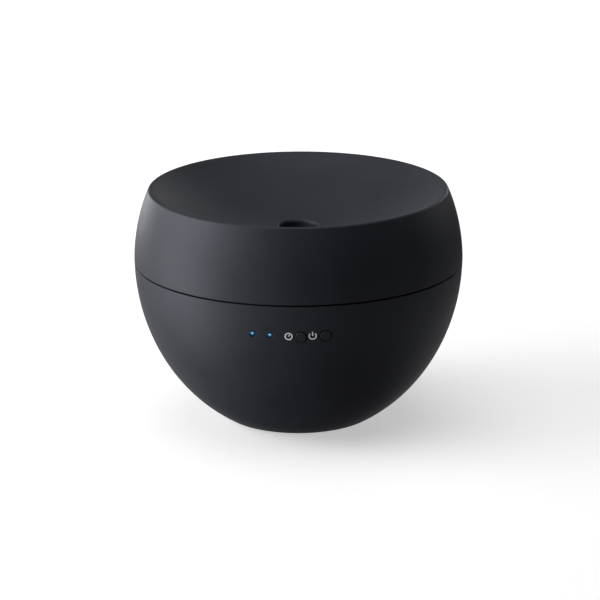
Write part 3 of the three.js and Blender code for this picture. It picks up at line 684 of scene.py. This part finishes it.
def make_base():
    plate = lathe("base_cover_plate", rounded([
        (0, BASE_Z, 0), (GRILLE_R + 2, BASE_Z, 0),
        (GRILLE_R + 2.3, BASE_Z + 0.3, 0), (GRILLE_R + 2.9, BASE_Z + 0.3, 0),
        (GRILLE_R + 3.2, BASE_Z, 0), (BASE_R, BASE_Z, 0.4), (BASE_R, BASE_TOP, 0.3), (0, BASE_TOP, 0),
    ]), steps=192)
    holes = []
    for i in range(SLOT_COUNT):
        y = SLOT_PITCH * (i - (SLOT_COUNT - 1) / 2)
        half = math.sqrt(GRILLE_R**2 - y**2)
        low, high = (-half, y - SLOT_PITCH / 4, -2), (half, y + SLOT_PITCH / 4, 8)
        holes.append(block("tool", low, high, rounding=SLOT_PITCH / 4 - 0.02))
    holes += [bar(FOOT_R + FIT, 0, BASE_STEP, x, y, 64) for x, y in around(4, FOOT_AT, 0)]
    for x, y in around(4, BASE_SCREW_R, 45):
        holes += [bar(3, 0, BASE_STEP, x, y), bar(1.75, 0, 5, x, y, 32)]
    cut(plate, holes)
    finish(plate, "base_plastic", "housing", "base_cover")
    for i, (x, y) in enumerate(around(4, FOOT_AT, 0)):
        foot = lathe(f"foot_{i + 1}_pad", rounded([
            (0, 0.25, 0), (FOOT_R - 1.9, 0.25, 0), (FOOT_R - 1.6, 0, 0),
            (FOOT_R, 0, 0.9), (FOOT_R, 2.2, 0.2), (0, 2.2, 0),
        ]), 96, Matrix.Translation((x, y, 0)))
        finish(foot, "rubber", "housing", f"foot_{i + 1}")


# ---- Water tank ------------------------------------------------------------------------------------------
TANK_FLOOR_Z = 48.2
TANK_FLOOR_R = 46.0
TANK_WALL = 2.2
TANK_RIM_R = 56.7
FLANGE_Z = 77.2
FLANGE_R = 79.1
LIP_R = 77.3
RISER_Y = 34.0
RISER_R = 8.0
RISER_Z = 70.0
PROBE_Y = -18.0
PROBE_BOSS_Z = 40.3
PROBE_SCREW_R = 16.2
FAN_PITCH = 16.0
FAN_HOLES = [(x * FAN_PITCH, RISER_Y + y * FAN_PITCH) for x, y in ((1, -1), (-1, -1), (-1, 1), (1, 1))]
DUCT_TOP = 42.0
WATER_LINE_Z = 64.0


def tank_inner(z):
    """Radius of the tank's inside at a height."""
    start = TANK_FLOOR_Z + 2
    return TANK_FLOOR_R + 0.8 + (TANK_RIM_R - TANK_FLOOR_R - 0.8) * (z - start) / (FLANGE_Z - start)


def make_tank():
    under = TANK_FLOOR_Z - TANK_WALL
    crest = tank_inner(WATER_LINE_Z) - 0.45
    line = [
        (tank_inner(WATER_LINE_Z + 0.5), WATER_LINE_Z + 0.5), (crest, WATER_LINE_Z + 0.3),
        (crest, WATER_LINE_Z - 0.3), (tank_inner(WATER_LINE_Z - 0.5), WATER_LINE_Z - 0.5),
    ]
    tank = lathe("water_tank_shell", rounded([
        (0, under, 0), (TANK_FLOOR_R - 1, under, 1.5), (TANK_FLOOR_R + 2.2, under + 2, 2),
        (TANK_RIM_R + 1.6, FLANGE_Z - TANK_WALL, 1.2), (FLANGE_R, FLANGE_Z - TANK_WALL, 0.6),
        (FLANGE_R, LIP_Z, 0.6),
        (LIP_R, LIP_Z, 0.5), (LIP_R, FLANGE_Z, 1), (TANK_RIM_R, FLANGE_Z, 1.4), *[(r, z, 0) for r, z in line],
        (TANK_FLOOR_R + 0.8, TANK_FLOOR_Z + 2, 3), (TANK_FLOOR_R - 2, TANK_FLOOR_Z, 4), (0, TANK_FLOOR_Z, 0),
    ]), steps=256)
    at_riser = Matrix.Translation((0, RISER_Y, 0))
    at_probe = Matrix.Translation((0, PROBE_Y, 0))
    riser = lathe("tool", rounded([
        (0, under, 0), (RISER_R + 2, under, 0), (RISER_R + 2, TANK_FLOOR_Z, 0),
        (RISER_R + 2, RISER_Z, 0.9), (0, RISER_Z, 0),
    ]), 96, at_riser)
    collar = lathe("tool", rounded([
        (0, under + 0.5, 0), (RISER_R + 5, under + 0.5, 0), (RISER_R + 3.4, TANK_FLOOR_Z, 1),
        (RISER_R + 2.1, TANK_FLOOR_Z + 2.4, 1), (0, TANK_FLOOR_Z + 2.4, 0),
    ]), 96, at_riser)
    others = [riser, collar, bar(19, PROBE_BOSS_Z, under + 1, 0, PROBE_Y, 96)]
    others += [bar(4.2, TANK_POST_Z + FIT, under + 1, x, y) for x, y in TANK_POSTS]
    others += [bar(3, DUCT_TOP + FIT, under + 1 if i < 2 else 56, x, y) for i, (x, y) in enumerate(FAN_HOLES)]
    join(tank, others)
    well = lathe("tool", rounded([
        (0, 39, 0), (13.2, 39, 0), (13.2, 43.6, 0), (9.5, 43.6, 0), (9.5, under + 0.7, 0.6),
        (13.3, TANK_FLOOR_Z, 0.8), (14.2, TANK_FLOOR_Z + 0.3, 0), (0, TANK_FLOOR_Z + 0.3, 0),
    ]), 96, at_probe)
    flared = [
        (0, 0), (RISER_R, 0), (RISER_R, RISER_Z - 0.6), (RISER_R + 0.25, RISER_Z - 0.1),
        (RISER_R + 0.6, RISER_Z + 1), (0, RISER_Z + 1),
    ]
    holes = [lathe("tool", flared, 96, at_riser), well]
    holes += [bar(1.3, 39, 45, x, y + PROBE_Y, 32) for x, y in around(3, PROBE_SCREW_R, 90)]
    holes += [bar(1.6, 30, 45, x, y, 32) for x, y in TANK_POSTS]
    holes += [bar(1.3, 30, 46.8 if i < 2 else 50, x, y, 32) for i, (x, y) in enumerate(FAN_HOLES)]
    cut(tank, holes)
    finish(tank, "tank_plastic", "housing", "water_tank")


SCREW_SIZES = {  # shank radius, head radius, head height, length
    "base": (1.4, 2.6, 1, 9.6),
    "tank": (1.3, 2.6, 2, 10.2),
    "transducer": (1, 2.1, 1.4, 6.4),
    "fan": (1, 2.2, 1.4, 16),
    "board": (1.1, 2.3, 1.5, 7.4),
    "panel": (1.05, 2.1, 1.4, 5.8),
}
BOARD_THICKNESS = 1.6
BASE_SCREW_SEAT = 2.2
TRANSDUCER_SCREW_SEAT = 38.1
FAN_SCREW_SEAT = 29.9


def make_screws():
    turned_over = Matrix.Rotation(math.pi, 4, "X")
    board_top = BOARD_Z + BOARD_THICKNESS + FIT
    panel_back = BOARD_FACE - BOARD_THICKNESS - FIT
    probe_screws = [(x, y + PROBE_Y) for x, y in around(3, PROBE_SCREW_R, 90)]
    groups = {
        "tank": ("steel", [screw_at(x, y, TANK_POST_Z - 2 - FIT) for x, y in TANK_POSTS]),
        "transducer": ("steel", [screw_at(x, y, TRANSDUCER_SCREW_SEAT) for x, y in probe_screws]),
        "fan": ("dark_steel", [screw_at(x, y, FAN_SCREW_SEAT) for x, y in FAN_HOLES]),
        "board": ("steel", [screw_at(x, y, board_top) @ turned_over for x, y in BOARD_POSTS[:2]]),
        "panel": ("steel", [ON_PANEL @ screw_at(x, y, panel_back) for x, y in PANEL_SCREWS]),
        "base": ("steel", [screw_at(x, y, BASE_SCREW_SEAT) for x, y in around(4, BASE_SCREW_R, 45)]),
    }
    for group, (slot, places) in groups.items():
        for i, place in enumerate(places):
            make_screw(f"{group}_screw_{i + 1}", slot, place, *SCREW_SIZES[group])


def make_transducer():
    disc = lathe("transducer_disc_turned", rounded([
        (0, 39.3, 0), (9.8, 39.3, 0.3), (9.8, 40.4, 0), (12.6, 40.4, 0.2), (12.6, 41.6, 0.2), (9.2, 41.6, 0),
        (8.8, 41.45, 0), (8.4, 41.6, 0), (0, 41.6, 0),
    ]), 128, Matrix.Translation((0, PROBE_Y, 0)))
    finish(disc, "steel", "housing", "transducer_disc")


# ---- Low-voltage inlet -----------------------------------------------------------------------------------
NOSE_R = 4.0
PLUG_HOLE_R = 2.9
CONTACT_R = 1.0


def make_inlet():
    here = Matrix.Translation((0, 0, JACK_Z)) @ ALONG_Y
    shoulder = POCKET_Y - 2.8
    low, high = (-4.5, 34.2, JACK_Z - 5.25), (4.5, shoulder, JACK_Z + 5.25)
    socket = block("inlet_socket_body", low, high, rounding=0.35)
    nose = lathe("tool", rounded([
        (0, shoulder - 1, 0), (NOSE_R, shoulder - 1, 0),
        (NOSE_R, POCKET_Y - 0.2, 0.3), (0, POCKET_Y - 0.2, 0),
    ]), 96, here)
    join(socket, [nose])
    bore = lathe("tool", [
        (0, 39), (PLUG_HOLE_R, 39), (PLUG_HOLE_R, POCKET_Y - 0.5),
        (PLUG_HOLE_R + 0.6, POCKET_Y + 0.1), (PLUG_HOLE_R + 0.6, 55), (0, 55),
    ], 96, here)
    cut(socket, [bore, bar(CONTACT_R + FIT, 33, 40, 0, 0, 32, here)])
    finish(socket, "black_plastic", "housing", "inlet_socket")
    pin_end = POCKET_Y - 1.2
    pin = lathe("inlet_pin_turned", [
        (0, 35), (CONTACT_R, 35), (CONTACT_R, pin_end - 0.7),
        (CONTACT_R * 0.86, pin_end - 0.3), (CONTACT_R * 0.55, pin_end - 0.05), (0, pin_end),
    ], 48, here)
    finish(pin, "brass", "housing", "inlet_pin")


MATERIALS["lamp_core"] = lamp_part("lamp_core", (0.01, 0.09, 0.17), (0.05, 0.42, 0.95), 0.17)
# This material's glow is a painted highlight on the lamp lenses, not lamp light.
MATERIALS["lamp_painted_highlight"] = lamp_part("lamp_painted_highlight", (0.25, 0.5, 0.7), (0.45, 0.85, 1), 0.5)
MATERIALS["symbol_ink"] = symbol_ink()

make_hood()
make_housing()
make_buttons()
make_lamps()
make_symbols()
make_base()
make_tank()
make_screws()
make_transducer()
make_inlet()


# ---- Pieces kept from the frame --------------------------------------------------------------------------
SLOT_OF = {entry["node"]: entry["material_slot"] for entry in frame["record"]["subparts"]}
for node, obj in frame["nodes"].items():
    obj.data.materials.clear()
    obj.data.materials.append(MATERIALS[SLOT_OF[node]])


# ---- Stage -----------------------------------------------------------------------------------------------
def direction(azimuth, elevation):
    """The unit vector towards that azimuth and elevation, in degrees; azimuth 0 is the front, -Y."""
    a, e = math.radians(azimuth), math.radians(elevation)
    return Vector((math.sin(a) * math.cos(e), -math.cos(a) * math.cos(e), math.sin(e)))


def add_camera():
    data = bpy.data.cameras.new("camera")
    data.lens = 183.48
    data.clip_start = 0.05
    camera = bpy.data.objects.new("camera", data)
    bpy.context.scene.collection.objects.link(camera)
    camera.location = Vector((0, 0, 0.05833)) + direction(3.45, 16.907) * 1.5459
    turn = direction(3.425, 16.874).to_track_quat("Z", "Y").to_matrix()
    camera.rotation_euler = (turn @ Matrix.Rotation(math.radians(-0.295), 3, "Z")).to_euler()
    bpy.context.scene.camera = camera


def add_floor():
    """White paper that stays white, with soft shadows, and sends no light or reflection back up."""
    bm = bmesh.new()
    bmesh.ops.create_grid(bm, x_segments=8, y_segments=8, size=6000)
    floor = new_object("floor", bm)
    mat, tree, shader = material("floor_paper", (0.8, 0.8, 0.8), 0.6)
    shader.inputs["Specular IOR Level"].default_value = 0.2
    shader.inputs["Emission Color"].default_value = (1, 1, 1, 1)
    # The lights are near the object, so the paper glows more with distance and stays white to the horizon.
    position = tree.nodes.new("ShaderNodeTexCoord")
    distance = tree.nodes.new("ShaderNodeVectorMath")
    distance.operation = "LENGTH"
    glow = tree.nodes.new("ShaderNodeMapRange")
    glow.inputs["From Min"].default_value = 0.35
    glow.inputs["From Max"].default_value = 1.6
    glow.inputs["To Min"].default_value = FLOOR_GLOW
    glow.inputs["To Max"].default_value = 1.05
    tree.links.new(position.outputs["Object"], distance.inputs[0])
    tree.links.new(distance.outputs["Value"], glow.inputs["Value"])
    tree.links.new(glow.outputs["Result"], shader.inputs["Emission Strength"])
    floor.data.materials.append(mat)
    floor.visible_diffuse = floor.visible_glossy = floor.visible_transmission = floor.visible_shadow = False


def add_area(name, azimuth, elevation, distance, size, power):
    data = bpy.data.lights.new(name, "AREA")
    data.shape = "RECTANGLE"
    data.size, data.size_y = size
    data.energy = power
    light = bpy.data.objects.new(name, data)
    bpy.context.scene.collection.objects.link(light)
    towards = direction(azimuth, elevation)
    light.location = Vector((0, 0, 0.06)) + towards * distance
    light.rotation_euler = towards.to_track_quat("Z", "Y").to_euler()
    light.visible_camera = False


def add_world():
    """The floor's bounce comes from below the horizon, and the backdrop is white but lights nothing."""
    world = bpy.data.worlds.new("studio")
    world.use_nodes = True
    tree = world.node_tree
    background = tree.nodes["Background"]
    background.inputs["Color"].default_value = (1, 1, 1, 1)
    position = tree.nodes.new("ShaderNodeTexCoord")
    split = tree.nodes.new("ShaderNodeSeparateXYZ")
    share = tree.nodes.new("ShaderNodeMapRange")
    share.inputs["From Min"].default_value = -1
    bounce = tree.nodes.new("ShaderNodeFloatCurve")
    curve = bounce.mapping.curves[0]
    curve.points[0].location = (0, BOUNCE[0][1])
    curve.points[1].location = (1, 0)
    for height, strength in BOUNCE[1:]:
        curve.points.new((height + 1) / 2, strength)
    for point in curve.points:
        point.handle_type = "VECTOR"
    bounce.mapping.update()
    ray = tree.nodes.new("ShaderNodeLightPath")
    total = tree.nodes.new("ShaderNodeMath")
    total.operation = "MAXIMUM"
    tree.links.new(position.outputs["Generated"], split.inputs["Vector"])
    tree.links.new(split.outputs["Z"], share.inputs["Value"])
    tree.links.new(share.outputs["Result"], bounce.inputs["Value"])
    tree.links.new(bounce.outputs["Value"], total.inputs[0])
    tree.links.new(ray.outputs["Is Camera Ray"], total.inputs[1])
    tree.links.new(total.outputs["Value"], background.inputs["Strength"])
    bpy.context.scene.world = world


def add_side(name, azimuth, elevation, watts):
    """One soft panel of the common size."""
    add_area(name, azimuth, elevation, 1.3, (0.55, 0.55), watts)


FLOOR_GLOW = 0.48
# Light from below the horizon: (height of its direction, strength).
BOUNCE = [(-1, 0.02), (-0.66, 0.09), (-0.62, 0.4), (-0.32, 0.44), (-0.28, 0.04), (0, 0)]
BANK_AZIMUTHS = (-95, -75, -55)
BANK_PEAK = -82  # azimuth where the bank at the left is strongest
BANK_SPREAD = 25
BANK_ROWS = {"high": (25, 6.3), "middle": (5, 2.0), "low": (-8, 3.0)}  # elevation, watts at the peak

add_camera()
add_floor()
for row, (elevation, peak_watts) in BANK_ROWS.items():
    for azimuth in BANK_AZIMUTHS:
        watts = peak_watts * math.exp(-(((azimuth - BANK_PEAK) / BANK_SPREAD) ** 2))
        add_side(f"bank_{row}_{azimuth}", azimuth, elevation, watts)
add_side("bounce_left", -75, -25, 3.5)
add_side("back_left", -140, 5, 4.0)
add_side("back_left_high", -140, 25, 0.5)
add_side("back", -165, 15, 0.25)
add_side("back_right", 160, 15, 1.8)
add_side("right", 125, 15, 0.9)
add_area("overhead", 0, 88, 1.5, (1.5, 1.5), 10)
add_area("overhead_back", 180, 60, 1.5, (1.0, 0.8), 0.5)
add_world()
bpy.context.scene.view_settings.view_transform = "Standard"
